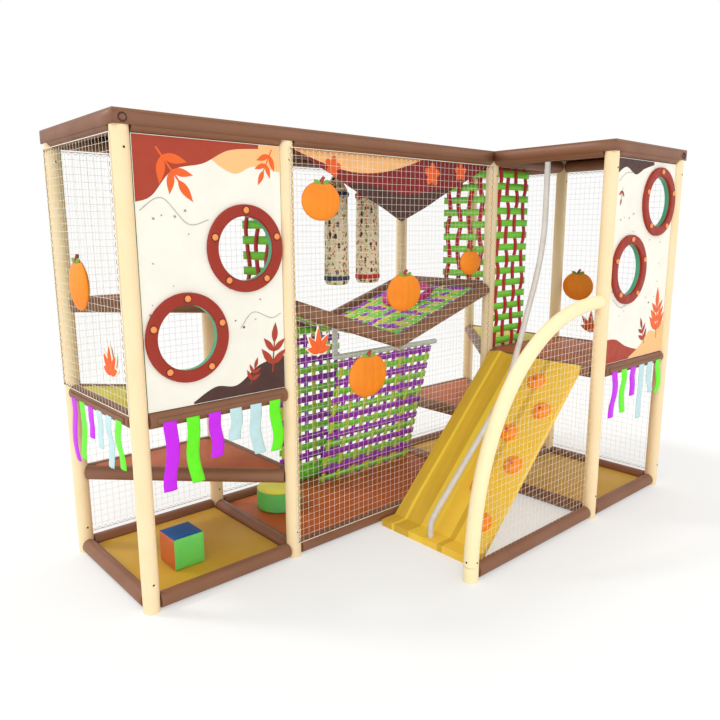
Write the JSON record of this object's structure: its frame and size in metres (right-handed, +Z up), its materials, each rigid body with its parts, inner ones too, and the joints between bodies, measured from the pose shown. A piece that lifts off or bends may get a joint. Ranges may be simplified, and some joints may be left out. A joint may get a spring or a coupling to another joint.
{
  "type": "indoor play maze",
  "caption": "Indoor soft-play maze: padded tube frame with step decks, woven crawl deck, portholes, wavy slide with climbing ramp, punch bags and safety nets.",
  "frame": {"origin": "middle of the footprint's bounding box, on the floor", "axes": "+X along the long main row towards the end with the slide platform, +Y from the front with the printed panels to the back net, +Z up"},
  "size_m": [3.707, 1.907, 2.4453],
  "materials": {
    "cream_foam": "matt vinyl",
    "brown_foam": "matt vinyl",
    "ochre_mat": "matt vinyl",
    "orange_deck": "matt vinyl",
    "yellow_deck": "matt vinyl",
    "board_white": "printed satin",
    "ring_red": "satin",
    "strap_purple": "woven",
    "strap_red": "woven",
    "ring_magenta": "satin vinyl",
    "pipe_grey": "satin",
    "slide_yellow": "smooth vinyl",
    "climb_ochre": "matt vinyl",
    "arch_cream": "matt vinyl",
    "bag_cream": "printed cloth",
    "hanger_steel": "brushed",
    "net_cord": "knotted cord",
    "ribbon_purple": "cloth",
    "pennant_peach": "printed cloth",
    "cube_blue": "vinyl over foam",
    "drum_green": "vinyl over foam"
  },
  "bodies": {
    "root": {"post_left_front": "cream_foam", "post_left_back": "cream_foam", "post_bay_front": "cream_foam", "post_bay_back": "cream_foam", "post_middle_front": "cream_foam", "post_middle_back": "cream_foam", "post_slide_front": "cream_foam", "post_right_front": "cream_foam", "post_right_middle": "cream_foam", "post_right_back": "cream_foam", "base_frame": "brown_foam", "roof_frame": "brown_foam", "roof_panel": "brown_foam", "step_deck_left_low": "orange_deck", "step_deck_left_middle": "yellow_deck", "step_deck_left_high": "orange_deck", "step_deck_right_low": "orange_deck", "step_deck_right_middle": "yellow_deck", "platform_right": "orange_deck", "mat_left": "ochre_mat", "mat_middle": "orange_deck", "mat_right_back": "ochre_mat", "mat_right_front": "ochre_mat", "panel_left": "board_white", "panel_right": "board_white", "porthole_left_low": "ring_red", "porthole_left_high": "ring_red", "porthole_right_low": "ring_red", "porthole_right_high": "ring_red", "crawl_rail_front": "brown_foam", "crawl_rail_back": "brown_foam", "crawl_end_beam": "brown_foam", "crawl_weave": "strap_purple", "crawl_ring": "ring_magenta", "wall_pipe": "pipe_grey", "wall_weave": "strap_purple", "rear_weave": "strap_purple", "curtain_platform": "strap_red", "curtain_crawl": "strap_red", "curtain_step": "strap_red", "pennant": "pennant_peach", "ribbons_left": "ribbon_purple", "ribbons_front": "ribbon_purple", "ribbons_right": "ribbon_purple", "slide_bed": "slide_yellow", "climbing_ramp": "climb_ochre", "handrail": "pipe_grey", "arch_tube": "arch_cream", "net_back": "net_cord", "net_left": "net_cord", "net_right": "net_cord", "net_middle": "net_cord", "net_arch": "net_cord"},
    "bag_link_left": {"bag_hanger_left": "hanger_steel"},
    "bag_left": {"punch_bag_left": "bag_cream"},
    "bag_link_right": {"bag_hanger_right": "hanger_steel"},
    "bag_right": {"punch_bag_right": "bag_cream"},
    "cube": {"loose_cube": "cube_blue"},
    "drum": {"loose_drum": "drum_green"}
  },
  "joints": [
    {"name": "bag_left_sideways", "type": "hinge", "parent": "root", "child": "bag_link_left", "pos_m": [-0.16675, 0.45325, 2.3352], "axis": [0, 1, 0], "range_deg": [-3.5, 20]},
    {"name": "bag_left_to_and_fro", "type": "hinge", "parent": "bag_link_left", "child": "bag_left", "pos_m": [-0.16675, 0.45325, 2.2902], "axis": [1, 0, 0], "range_deg": [-20, 20]},
    {"name": "bag_right_sideways", "type": "hinge", "parent": "root", "child": "bag_link_right", "pos_m": [0.11325, 0.45325, 2.3352], "axis": [0, 1, 0], "range_deg": [-20, 3.5]},
    {"name": "bag_right_to_and_fro", "type": "hinge", "parent": "bag_link_right", "child": "bag_right", "pos_m": [0.11325, 0.45325, 2.2902], "axis": [1, 0, 0], "range_deg": [-20, 20]},
    {"name": "cube_lift", "type": "slide", "parent": "root", "child": "cube", "axis": [0, 0, 1], "range_m": [0, 0.15]},
    {"name": "drum_lift", "type": "slide", "parent": "root", "child": "drum", "axis": [0, 0, 1], "range_m": [0, 0.2]}
  ]
}
